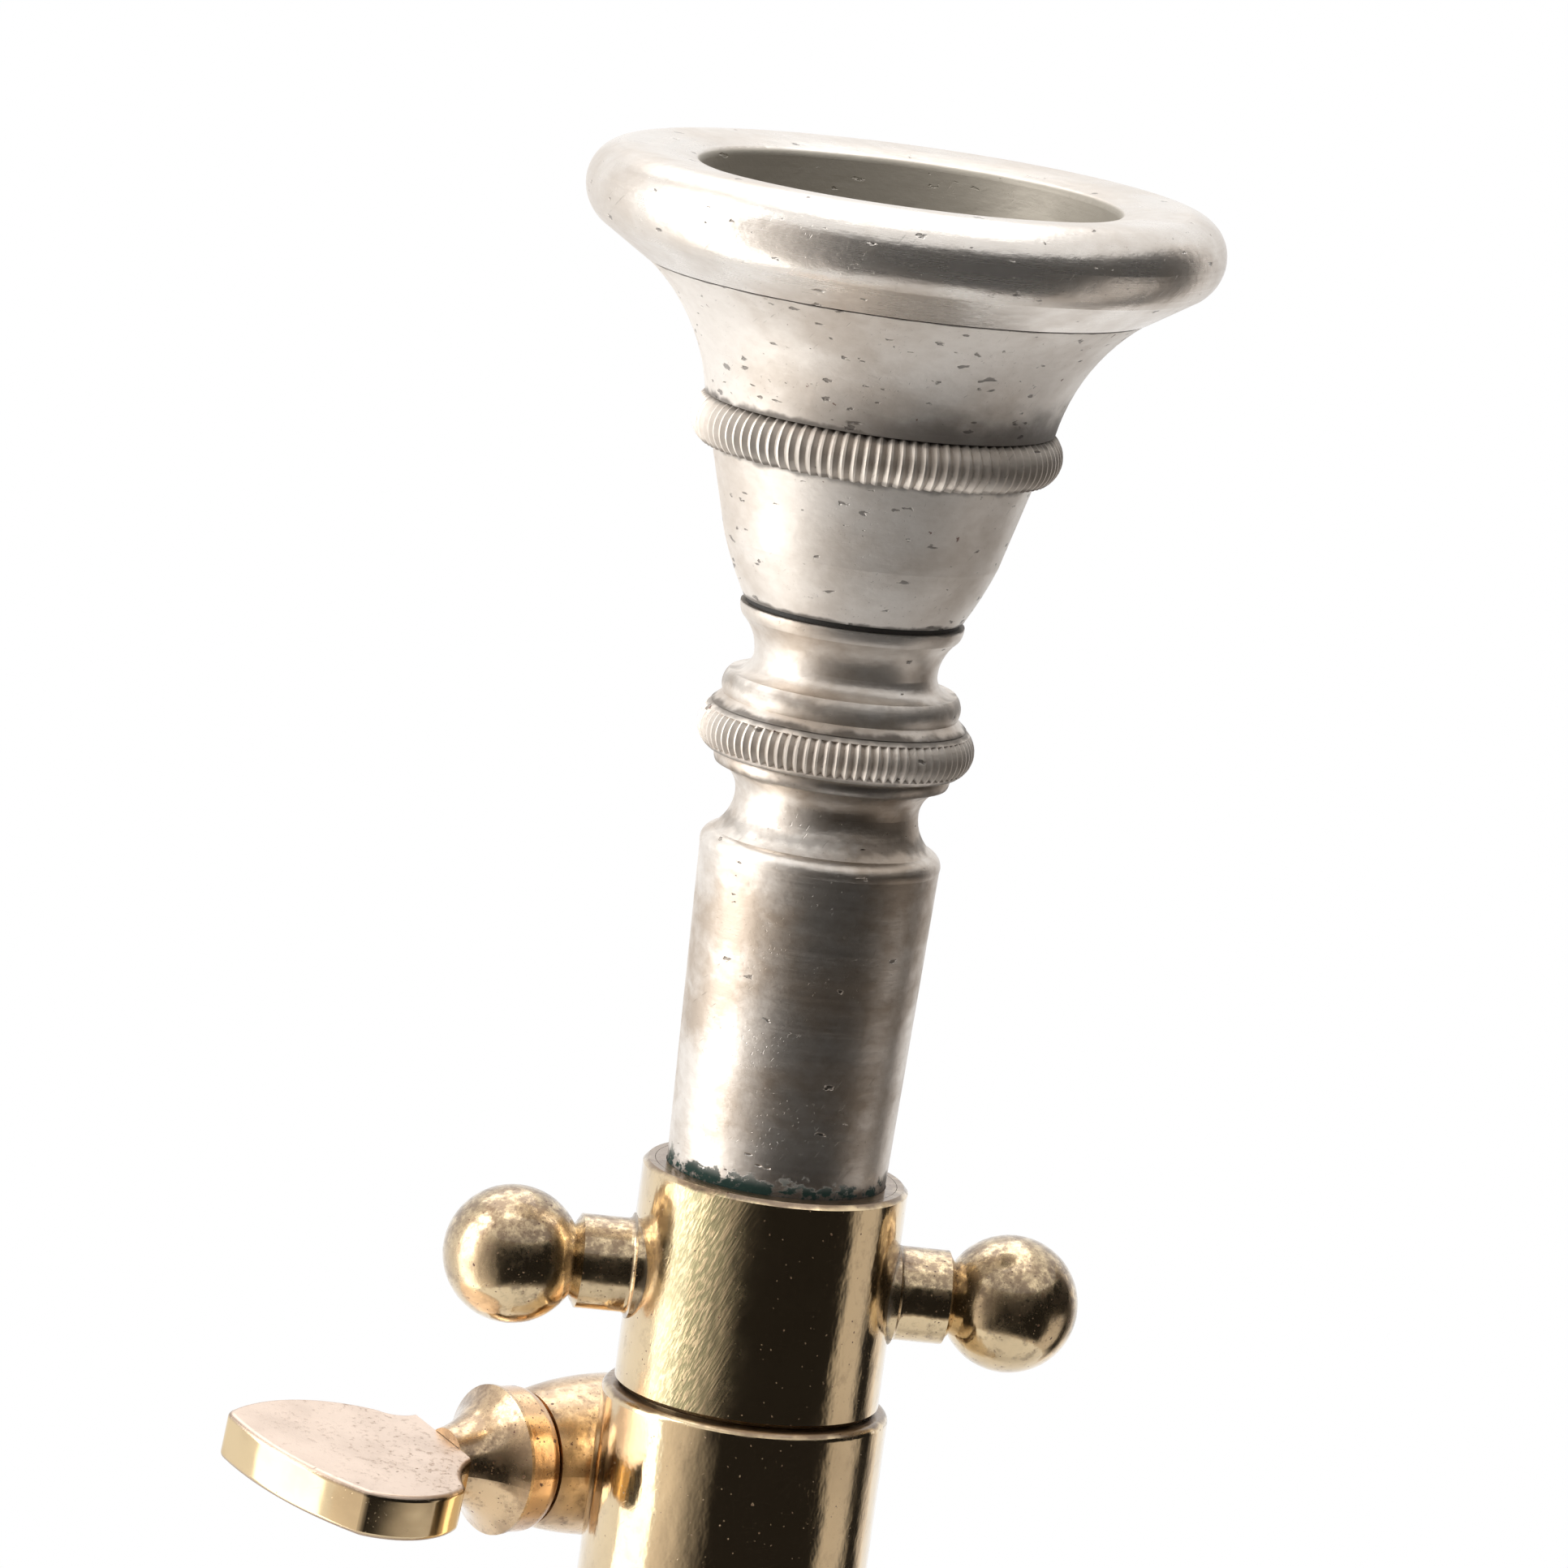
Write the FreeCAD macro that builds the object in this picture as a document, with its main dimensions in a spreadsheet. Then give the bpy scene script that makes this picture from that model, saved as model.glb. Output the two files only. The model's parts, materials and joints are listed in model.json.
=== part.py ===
import FreeCAD, Part
import math
import os
import re

import Sketcher
from FreeCAD import Placement, Rotation, Vector

# Mouthpiece and tuning mouthpipe of a valved brass instrument, held in a split receiver by a thumbscrew.
# Millimetres, +Z up along the air column, origin at the mouth of the leadpipe socket.
SIZES = {
    # Receiver: a split sleeve with the leadpipe socket below and the sliding mouthpipe above
    "receiver_length": 40.0,
    "receiver_radius": 6.25,
    "receiver_edge": 0.35,
    "receiver_edge_swell": 0.1,
    "socket_radius": 5.6,
    "socket_depth": 12.0,
    "slit_width": 1.0,
    "slit_depth": 22.0,
    "slit_relief_radius": 0.9,
    "ferrule_height": 7.0,
    "ferrule_wall": 0.6,
    "ferrule_crown": 0.25,
    "solder_gap": 0.02,
    # Clamp: two lugs beside the slit, closed by the thumbscrew
    "clamp_angle": 37.0,
    "clamp_drop": 4.95,
    "screw_radius": 1.5,
    "screw_clearance": 0.05,
    "lug_skin": 0.2,
    "lug_length": 5.0,
    "lug_root_radius": 3.55,
    "lug_tip_radius": 2.95,
    "lug_swell": 0.22,
    "nut_length": 4.5,
    "nut_root_radius": 3.3,
    "nut_tip_radius": 2.6,
    "nut_swell": 0.3,
    "thrust_gap": 0.05,
    "thrust_length": 1.6,
    "thrust_inner_radius": 2.75,
    "thrust_outer_radius": 3.2,
    "thrust_edge": 0.6,
    "thrust_edge_swell": 0.12,
    "screw_short": 0.4,
    "screw_tip": 0.35,
    "screw_seat": 0.9,
    "bell_radius": 3.3,
    "bell_rim": 0.15,
    "bell_length": 2.6,
    "bell_nose_radius": 1.5,
    "bell_hollow": 0.3,
    # Wing of the thumbscrew: a flat plate with two unlike lobes, let into the nose of the bell
    "wing_roll": 8.0,
    "wing_thickness": 2.1,
    "wing_edge": 0.25,
    "wing_corner": 0.8,
    "wing_tongue": 1.4,
    "wing_tongue_width": 1.8,
    "near_neck": 2.0,
    "far_neck": 2.9,
    "wing_flank_hollow": 0.3,
    "near_lobe_rise": 1.9,
    "near_lobe_reach": 4.6,
    "near_lobe_swell": 0.9,
    "near_tip_rise": 7.0,
    "near_tip_reach": 4.6,
    "wing_end_swell": 0.75,
    "far_tip_rise": 9.0,
    "far_tip_reach": 4.0,
    "far_lobe_swell": 1.25,
    "far_lobe_rise": 1.5,
    "far_lobe_reach": 3.5,
    # Mouthpipe: the tuning tube, its collar and the two pull knobs
    "mouthpipe_radius": 5.25,
    "mouthpipe_length": 35.83,
    "mouthpipe_bore": 4.4,
    "mouthpipe_step": 1.0,
    "slide_clearance": 0.05,
    "collar_gap": 0.1,
    "collar_height": 9.93,
    "collar_wall": 0.5,
    "collar_edge": 0.2,
    "knob_rise": 5.13,
    "knob_turn": 8.5,
    "knob_neck_radius": 2.05,
    "knob_neck_length": 2.27,
    "knob_fillet": 0.25,
    "knob_fillet_hollow": 0.07,
    "knob_groove": 0.3,
    "knob_waist_radius": 1.55,
    "ball_radius": 3.0,
    # Mouthpiece shank: the taper that seats in the mouthpipe, and the baluster foot on it
    "shank_length": 38.0,
    "shank_exposed": 13.97,
    "shank_end_radius": 4.01,
    "shank_shoulder_radius": 5.18,
    "shank_clearance": 0.03,
    "shank_bore_end": 3.3,
    "shoulder_rise": 0.8,
    "shoulder_top_radius": 4.72,
    "shoulder_swell": 0.2,
    "foot_waist_radius": 3.96,
    "foot_flare_height": 1.6,
    "foot_flare_hollow": 0.2,
    "foot_cove_height": 1.3,
    "foot_cove_hollow": 0.3,
    "foot_bead_radius": 5.02,
    "foot_bead_height": 0.6,
    "foot_bead_swell": 0.08,
    "tenon_radius": 3.2,
    "tenon_depth": 6.0,
    "tenon_bore": 2.4,
    # Mouthpiece stem and its milled ring
    "stem_ring_height": 1.95,
    "stem_ring_radius": 5.45,
    "stem_ring_swell": 0.52,
    "stem_ring_teeth": 84,
    "stem_ring_sweep": 84,
    "stem_shoulder_radius": 5.5,
    "stem_shoulder_rise": 0.42,
    "stem_bead_foot_radius": 5.06,
    "stem_bead_height": 1.0,
    "stem_bead_swell": 0.16,
    "stem_bead_top_radius": 4.9,
    "stem_waist_radius": 3.95,
    "stem_cove_height": 0.8,
    "stem_cove_hollow": 0.28,
    "stem_flare_height": 1.63,
    "stem_flare_hollow": 0.19,
    "stem_flare_radius": 4.68,
    "stem_lip_height": 0.58,
    "stem_lip_radius": 4.82,
    "stem_lip_swell": 0.05,
    "throat_radius": 2.05,
    "throat_depth": 2.0,
    "spigot_radius": 3.9,
    "spigot_height": 3.5,
    "spigot_bore": 3.4,
    "thread_clearance": 0.05,
    "washer_thickness": 0.2,
    "washer_radius": 4.6,
    "joint_gap": 0.02,
    # Mouthpiece cup, its milled ring and its rim
    "cup_foot_radius": 4.74,
    "cup_bowl_height": 2.55,
    "cup_bowl_radius": 5.9,
    "cup_bowl_swell": 0.06,
    "cup_neck_height": 3.87,
    "cup_seat_radius": 6.95,
    "cup_ring_height": 2.05,
    "cup_ring_radius": 7.45,
    "cup_ring_swell": 0.52,
    "cup_ring_teeth": 100,
    "cup_ring_sweep": 130,
    "tooth_depth": 0.17,
    "tooth_cover": 0.8,
    "cup_flare_height": 5.43,
    "cup_flare_base_radius": 7.5,
    "cup_flare_radius": 10.78,
    "cup_flare_hollow": 0.6,
    "cup_funnel_radius": 7.9,
    "cup_funnel_swell": 0.25,
    "rim_seat_radius": 8.6,
    "rim_seat_depth": 1.2,
    "rim_seam": 0.05,
    "rim_base_radius": 10.9,
    "rim_under_height": 1.33,
    "rim_under_radius": 12.94,
    "rim_side_height": 1.54,
    "rim_side_swell": 0.19,
    "rim_radius": 13.66,
    "rim_shoulder_swell": 0.52,
    "rim_crest_rise": 1.78,
    "rim_crest_radius": 11.9,
    "rim_top_swell": 0.08,
    "rim_inner_drop": 0.32,
    "rim_inner_radius": 9.25,
    "rim_edge_swell": 0.07,
    "rim_bite_drop": 0.33,
    "rim_bite_radius": 8.93,
}

DOC = FreeCAD.newDocument("mouthpiece_and_receiver")
SHEET = DOC.addObject("Spreadsheet::Sheet", "Dims")
for row, (alias, size) in enumerate(SIZES.items(), start=1):
    SHEET.set(f"A{row}", alias)
    SHEET.set(f"B{row}", str(size))
    SHEET.setAlias(f"B{row}", alias)
DOC.recompute()

PIECES = []
TOUCH = 0.01
RING_SIZES = ("radius", "swell", "height", "teeth", "sweep")

# Levels along the air column, as sums of the sizes above
SLIDE_BORE = "mouthpipe_radius + slide_clearance"
COLLAR_BASE = "receiver_length + collar_gap"
COLLAR_TOP = f"{COLLAR_BASE} + collar_height"
SHANK_END = f"{COLLAR_TOP} + shank_exposed - shank_length"
FOOT_TOP = "shank_length + shoulder_rise + foot_flare_height + foot_cove_height + foot_bead_height"
STEM_BASE = f"{SHANK_END} + {FOOT_TOP}"
STEM_HEIGHT = (
    "stem_shoulder_rise + stem_bead_height + stem_cove_height"
    " + stem_flare_height + stem_lip_height"
)
WASHER_BASE = f"{STEM_BASE} + stem_ring_height + {STEM_HEIGHT} + joint_gap"
CUP_BASE = f"{WASHER_BASE} + washer_thickness + joint_gap"
CUP_RING_BASE = f"{CUP_BASE} + cup_bowl_height + cup_neck_height"
CUP_HEIGHT = "cup_bowl_height + cup_neck_height + cup_ring_height + cup_flare_height"
RIM_BASE = f"{CUP_BASE} + {CUP_HEIGHT} + rim_seam"
COLLAR_RADIUS = "mouthpipe_radius + solder_gap + collar_wall"
SCREW_OFFSET = "receiver_radius + lug_skin + screw_clearance + screw_radius"
SCREW_HOLE = "screw_radius + screw_clearance"
THRUST_BASE = "slit_width / 2 + lug_length + thrust_gap"
BELL_BASE = f"{THRUST_BASE} + thrust_length + thrust_gap"


def tie(text):
    """Turn size names in a formula into references to the sheet."""
    return re.sub(r"[a-z_]+", lambda name: f"Dims.{name[0]}" if name[0] in SIZES else name[0], text)


def value(text):
    """Work out a formula of sizes as a number."""
    return float(SHEET.evalExpression(tie(text)))


def new_body(label):
    """Start a sub-part under its own name."""
    body = DOC.addObject("PartDesign::Body", label)
    body.Label = label
    PIECES.append(body)
    return body


def new_sketch(body, plane, name):
    """Attach a sketch to one of the body's own origin planes."""
    sketch = body.newObject("Sketcher::SketchObject", name)
    support = next(item for item in body.Origin.OriginFeatures if item.Role == plane)
    sketch.AttachmentSupport = [(support, "")]
    sketch.MapMode = "FlatFace"
    return sketch


def fix_coordinate(sketch, kind, edge, end, text):
    """Hold one coordinate of an edge's end at a formula, or on the axis where it is zero."""
    if text == "0":
        axis = -2 if kind == "DistanceX" else -1
        sketch.addConstraint(Sketcher.Constraint("PointOnObject", edge, end, axis))
        return
    index = sketch.addConstraint(Sketcher.Constraint(kind, -1, 1, edge, end, value(text)))
    sketch.setExpression(f"Constraints[{index}]", tie(text))


def arc_between(start, stop, swell):
    """The arc that swells to the right of the way from start to stop, or to the left if negative."""
    chord = stop - start
    aside = Vector(chord.y, -chord.x, 0).normalize()
    radius = chord.Length ** 2 / (8 * abs(swell)) + abs(swell) / 2
    centre = (start + stop) * 0.5 + aside * (swell - math.copysign(radius, swell))
    circle = Part.Circle(centre, Vector(0, 0, 1), radius)
    ends = (start, stop) if swell > 0 else (stop, start)
    angles = [math.atan2(point.y - centre.y, point.x - centre.x) for point in ends]
    return Part.ArcOfCircle(circle, *angles)


def draw_outline(sketch, corners):
    """Draw a closed outline anticlockwise; a corner's third entry is the swell of the arc that leaves it."""
    points = [Vector(value(corner[0]), value(corner[1]), 0) for corner in corners]
    ends = []
    for index, corner in enumerate(corners):
        following = corners[(index + 1) % len(corners)]
        start = points[index]
        stop = points[(index + 1) % len(corners)]
        if len(corner) == 2:
            edge = sketch.addGeometry(Part.LineSegment(start, stop))
            ends.append((edge, 1, 2))
            continue
        swell = value(corner[2])
        edge = sketch.addGeometry(arc_between(start, stop, swell))
        ends.append((edge, 1, 2) if swell > 0 else (edge, 2, 1))
        bow = f"abs({corner[2]})"
        across = f"(({following[0]}) - ({corner[0]}))^2 + (({following[1]}) - ({corner[1]}))^2"
        radius = f"({across}) / (8 * {bow}) + {bow} / 2"
        held = sketch.addConstraint(Sketcher.Constraint("Radius", edge, value(radius)))
        sketch.setExpression(f"Constraints[{held}]", tie(radius))
    for index, (edge, first, last) in enumerate(ends):
        after, after_first, _ = ends[(index + 1) % len(ends)]
        sketch.addConstraint(Sketcher.Constraint("Coincident", edge, last, after, after_first))
        fix_coordinate(sketch, "DistanceX", edge, first, corners[index][0])
        fix_coordinate(sketch, "DistanceY", edge, first, corners[index][1])


def draw_circle(sketch, across, along, radius):
    """Draw a circle by its centre and radius."""
    centre = Vector(value(across), value(along), 0)
    edge = sketch.addGeometry(Part.Circle(centre, Vector(0, 0, 1), value(radius)))
    held = sketch.addConstraint(Sketcher.Constraint("Radius", edge, value(radius)))
    sketch.setExpression(f"Constraints[{held}]", tie(radius))
    fix_coordinate(sketch, "DistanceX", edge, 3, across)
    fix_coordinate(sketch, "DistanceY", edge, 3, along)


def turned(label, corners):
    """A piece turned on its own Z axis from an outline of radius and height."""
    body = new_body(label)
    sketch = new_sketch(body, "XZ_Plane", f"{label}_outline")
    draw_outline(sketch, corners)
    turn = body.newObject("PartDesign::Revolution", f"{label}_turn")
    turn.Profile = sketch
    turn.ReferenceAxis = (sketch, ["V_Axis"])
    turn.Angle = 360
    DOC.recompute()
    return body


def cut_through(body, sketch, name, both_ways=True):
    """Cut a sketch right through the piece, both ways or only to the back."""
    cut = body.newObject("PartDesign::Pocket", name)
    cut.Profile = sketch
    cut.Type = "ThroughAll"
    cut.Midplane = both_ways
    before = body.Shape.Volume
    DOC.recompute()
    if body.Shape.Volume >= before:
        raise RuntimeError(f"{name} cuts nothing")


def cut_saddle(body, across, radius):
    """Hollow a piece to sit on a round tube that runs along the piece's own Y axis."""
    sketch = new_sketch(body, "XZ_Plane", f"{body.Label}_saddle")
    draw_circle(sketch, across, "0", radius)
    cut_through(body, sketch, f"{body.Label}_saddle_cut")


def milled_ring(label, bore, kind):
    """A swelling ring about its own middle, milled with V grooves that follow the swell."""
    radius, swell, height, count, sweep = [f"{kind}_{size}" for size in RING_SIZES]
    body = turned(label, [
        (bore, f"-{height} / 2"),
        (radius, f"-{height} / 2", swell),
        (radius, f"{height} / 2"),
        (bore, f"{height} / 2"),
    ])
    crest = f"{radius} + {swell}"
    hub = f"{crest} - ({height}^2 / (8 * {swell}) + {swell} / 2)"
    mouth = f"2 * tooth_cover * ({crest}) * tan(180 / {count})"
    sketch = new_sketch(body, "XY_Plane", f"{label}_groove")
    draw_outline(sketch, [
        (f"{crest} - tooth_depth", "0"),
        (f"{crest} + tooth_depth", f"-{mouth}"),
        (f"{crest} + tooth_depth", mouth),
    ])
    ends = (Vector(value(hub), 0, 0), Vector(value(hub), value(height), 0))
    axis = sketch.addGeometry(Part.LineSegment(*ends), True)
    for end, along in ((1, "0"), (2, height)):
        fix_coordinate(sketch, "DistanceX", axis, end, hub)
        fix_coordinate(sketch, "DistanceY", axis, end, along)
    groove = body.newObject("PartDesign::Groove", f"{label}_groove_cut")
    groove.Profile = sketch
    groove.ReferenceAxis = (sketch, ["Axis0"])
    groove.Midplane = True
    groove.setExpression("Angle", tie(sweep))
    DOC.recompute()
    grooves = body.newObject("PartDesign::PolarPattern", f"{label}_grooves")
    grooves.Originals = [groove]
    grooves.Axis = (sketch, ["N_Axis"])
    grooves.Angle = 360
    grooves.setExpression("Occurrences", tie(count))
    body.Tip = grooves
    DOC.recompute()
    return body


def place(body, base, turn):
    """Bind a piece's position and its yaw, pitch and roll to formulas of the sizes."""
    position = "; ".join(base)
    angles = "; ".join(turn)
    body.setExpression("Placement", tie(f"placement(vector({position}); rotation({angles}))"))


def stand(body, level):
    """Place a piece on the air column at a level."""
    place(body, ("0", "0", level), ("0", "0", "0"))


def on_screw(body, along, pitch="0", roll="90"):
    """Place a piece on the screw's axis, a distance outward from the slit: Z outward, X to the air column."""
    east = f"-({SCREW_OFFSET}) * sin(clamp_angle) - ({along}) * cos(clamp_angle)"
    north = f"({SCREW_OFFSET}) * cos(clamp_angle) - ({along}) * sin(clamp_angle)"
    place(body, (east, north, "receiver_length - clamp_drop"), ("clamp_angle - 90", pitch, roll))


def make_receiver():
    """Split sleeve: leadpipe socket below, slide bore above, slit with a relief hole behind."""
    body = turned("receiver_sleeve", [
        ("socket_radius", "0"),
        ("receiver_radius", "0"),
        ("receiver_radius", "receiver_length - receiver_edge", "receiver_edge_swell"),
        ("receiver_radius - receiver_edge", "receiver_length"),
        (SLIDE_BORE, "receiver_length"),
        (SLIDE_BORE, "socket_depth"),
        ("socket_radius", "socket_depth"),
    ])
    slit = new_sketch(body, "XZ_Plane", "slit_outline")
    low = "receiver_length - slit_depth"
    draw_outline(slit, [
        ("-slit_width / 2", low),
        ("slit_width / 2", low),
        ("slit_width / 2", "receiver_length + slit_width"),
        ("-slit_width / 2", "receiver_length + slit_width"),
    ])
    relief = new_sketch(body, "XZ_Plane", "slit_relief_outline")
    draw_circle(relief, "0", low, "slit_relief_radius")
    for sketch, name in ((slit, "slit"), (relief, "slit_relief")):
        cut_through(body, sketch, name, both_ways=False)
    place(body, ("0", "0", "0"), ("clamp_angle", "0", "0"))


def make_ferrule():
    """Crowned band that stiffens the mouth of the leadpipe socket."""
    outside = "receiver_radius + solder_gap + ferrule_wall"
    turned("socket_ferrule", [
        ("receiver_radius + solder_gap", "0"),
        (outside, "0", "ferrule_crown"),
        (outside, "ferrule_height"),
        ("receiver_radius + solder_gap", "ferrule_height"),
    ])


def make_lugs():
    """Near lug with a clear hole and far lug as the nut, both hollowed to sit on the sleeve."""
    face = "slit_width / 2"
    for label, kind, roll in (("screw_lug", "lug", "90"), ("nut_lug", "nut", "-90")):
        body = turned(label, [
            (SCREW_HOLE, face),
            (f"{kind}_root_radius", face, f"{kind}_swell"),
            (f"{kind}_tip_radius", f"{face} + {kind}_length"),
            (SCREW_HOLE, f"{face} + {kind}_length"),
        ])
        cut_saddle(body, SCREW_OFFSET, "receiver_radius + solder_gap")
        on_screw(body, "0", roll=roll)


def make_screw():
    """Loose thrust collar with a rounded inner edge, and the threaded spindle."""
    thrust = turned("thrust_collar", [
        (SCREW_HOLE, "0"),
        ("thrust_inner_radius", "0", "thrust_edge_swell"),
        ("thrust_outer_radius", "thrust_edge"),
        ("thrust_outer_radius", "thrust_length"),
        (SCREW_HOLE, "thrust_length"),
    ])
    on_screw(thrust, THRUST_BASE)

    start = "screw_short - slit_width / 2 - nut_length"
    length = f"{BELL_BASE} + screw_seat - ({start})"
    spindle = turned("screw_spindle", [
        ("0", "0"),
        ("screw_radius - screw_tip", "0"),
        ("screw_radius", "screw_tip"),
        ("screw_radius", length),
        ("0", length),
    ])
    on_screw(spindle, start)


def make_bell():
    """Flared head of the thumbscrew, bored for the spindle and mortised for the wing."""
    bell = turned("thumbscrew_bell", [
        ("screw_radius + solder_gap", "0"),
        ("bell_radius", "0"),
        ("bell_radius", "bell_rim", "-bell_hollow"),
        ("bell_nose_radius", "bell_length"),
        ("0", "bell_length"),
        ("0", "screw_seat + solder_gap"),
        ("screw_radius + solder_gap", "screw_seat + solder_gap"),
    ])
    near_side = "wing_tongue_width / 2 + solder_gap"
    far_side = "-wing_tongue_width / 2 - solder_gap"
    floor = "bell_length - wing_tongue - solder_gap"
    outside = "bell_length + wing_tongue"
    sketch = new_sketch(bell, "XZ_Plane", "wing_mortise_outline")
    draw_outline(sketch, [(far_side, floor), (near_side, floor), (near_side, outside), (far_side, outside)])
    mortise = bell.newObject("PartDesign::Pocket", "wing_mortise")
    mortise.Profile = sketch
    mortise.Midplane = True
    mortise.setExpression("Length", tie("wing_thickness + 2 * solder_gap"))
    DOC.recompute()
    on_screw(bell, BELL_BASE, pitch="wing_roll")


def make_wing():
    """Flat wing with softened edges and a tongue let into the bell, broader on the far side."""
    wing = new_body("thumbscrew_wing")
    outline = new_sketch(wing, "XZ_Plane", "wing_outline")
    root = "bell_length - wing_tongue"
    draw_outline(outline, [
        ("-wing_tongue_width / 2", root),
        ("wing_tongue_width / 2", root),
        ("wing_tongue_width / 2", "bell_length"),
        ("near_neck", "bell_length", "-wing_flank_hollow"),
        ("near_lobe_reach", "bell_length + near_lobe_rise", "near_lobe_swell"),
        ("near_tip_reach", "bell_length + near_tip_rise", "wing_end_swell"),
        ("-far_tip_reach", "bell_length + far_tip_rise", "far_lobe_swell"),
        ("-far_lobe_reach", "bell_length + far_lobe_rise", "-wing_flank_hollow"),
        ("-far_neck", "bell_length"),
        ("-wing_tongue_width / 2", "bell_length"),
    ])
    plate = wing.newObject("PartDesign::Pad", "wing_plate")
    plate.Profile = outline
    plate.Midplane = True
    plate.setExpression("Length", tie("wing_thickness"))
    DOC.recompute()
    corners = wing.newObject("PartDesign::Fillet", "wing_corners")
    corners.Base = (plate, edges_where(plate.Shape, is_wing_corner))
    corners.setExpression("Radius", tie("wing_corner"))
    DOC.recompute()
    edges = wing.newObject("PartDesign::Fillet", "wing_edges")
    edges.Base = (corners, edges_where(corners.Shape, is_wing_border))
    edges.setExpression("Radius", tie("wing_edge"))
    DOC.recompute()
    on_screw(wing, BELL_BASE, pitch="wing_roll")


def edges_where(shape, wanted):
    """Names of the edges of a shape that pass a test."""
    return [f"Edge{index}" for index, edge in enumerate(shape.Edges, start=1) if wanted(edge)]


def is_wing_corner(edge):
    """Whether an edge runs through the wing's thickness at one of its lobes."""
    box = edge.BoundBox
    return box.YLength > box.XLength + box.ZLength and box.ZMin > value("bell_length") + TOUCH


def is_wing_border(edge):
    """Whether an edge lies round the wing's flat faces, beyond the bell."""
    box = edge.BoundBox
    nose = value("bell_length")
    return box.YLength < TOUCH and box.ZMin > nose - TOUCH and box.ZMax > nose + TOUCH


def make_mouthpipe():
    """Tuning tube with the taper that takes the shank, and the collar round its upper end."""
    taper = "(shank_shoulder_radius - shank_end_radius) / shank_length"
    inserted = "shank_length - shank_exposed"
    mouth = f"shank_end_radius + {taper} * ({inserted}) + shank_clearance"
    seat_end = f"mouthpipe_length - ({inserted})"
    tube = turned("mouthpipe_tube", [
        ("mouthpipe_bore", "0"),
        ("mouthpipe_radius", "0"),
        ("mouthpipe_radius", "mouthpipe_length"),
        (mouth, "mouthpipe_length"),
        ("shank_end_radius + shank_clearance", seat_end),
        ("mouthpipe_bore", f"{seat_end} - mouthpipe_step"),
    ])
    stand(tube, f"{COLLAR_TOP} - mouthpipe_length")

    collar = turned("mouthpipe_collar", [
        ("mouthpipe_radius + solder_gap", "0"),
        (f"{COLLAR_RADIUS} - collar_edge", "0"),
        (COLLAR_RADIUS, "collar_edge"),
        (COLLAR_RADIUS, "collar_height - collar_edge"),
        (f"{COLLAR_RADIUS} - collar_edge", "collar_height"),
        ("mouthpipe_radius + solder_gap", "collar_height"),
    ])
    stand(collar, COLLAR_BASE)


def make_knobs():
    """Two ball-ended pull knobs soldered to the collar, opposite each other."""
    sunk = f"{COLLAR_RADIUS} - knob_neck_radius / 2"
    foot = "knob_neck_radius + knob_fillet"
    neck_end = f"{COLLAR_RADIUS} + knob_neck_length"
    waist = f"{neck_end} + knob_groove"
    reach = "sqrt(ball_radius^2 - knob_waist_radius^2)"
    ball_swell = f"ball_radius - sqrt(ball_radius * (ball_radius - {reach}) / 2)"
    for label, yaw in (("pull_knob_right", "90 + knob_turn"), ("pull_knob_left", "270 + knob_turn")):
        body = turned(label, [
            ("0", sunk),
            (foot, sunk),
            (foot, COLLAR_RADIUS, "-knob_fillet_hollow"),
            ("knob_neck_radius", f"{COLLAR_RADIUS} + knob_fillet"),
            ("knob_neck_radius", neck_end),
            ("knob_waist_radius", waist, ball_swell),
            ("0", f"{waist} + {reach} + ball_radius"),
        ])
        cut_saddle(body, "0", COLLAR_RADIUS)
        place(body, ("0", "0", f"{COLLAR_BASE} + knob_rise"), (yaw, "0", "90"))


def make_shank():
    """Tapered shank with a rounded shoulder and the baluster foot that carries the milled ring."""
    shoulder = "shank_length + shoulder_rise"
    waist = f"{shoulder} + foot_flare_height"
    bead = f"{waist} + foot_cove_height"
    socket_floor = f"{FOOT_TOP} - tenon_depth"
    body = turned("mouthpiece_shank", [
        ("shank_bore_end", "0"),
        ("shank_end_radius", "0"),
        ("shank_shoulder_radius", "shank_length", "shoulder_swell"),
        ("shoulder_top_radius", shoulder, "-foot_flare_hollow"),
        ("foot_waist_radius", waist, "-foot_cove_hollow"),
        ("foot_bead_radius", bead, "foot_bead_swell"),
        ("foot_bead_radius", FOOT_TOP),
        ("tenon_radius + solder_gap", FOOT_TOP),
        ("tenon_radius + solder_gap", f"{socket_floor} - solder_gap"),
        ("tenon_bore", f"{socket_floor} - solder_gap"),
    ])
    stand(body, SHANK_END)


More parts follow.
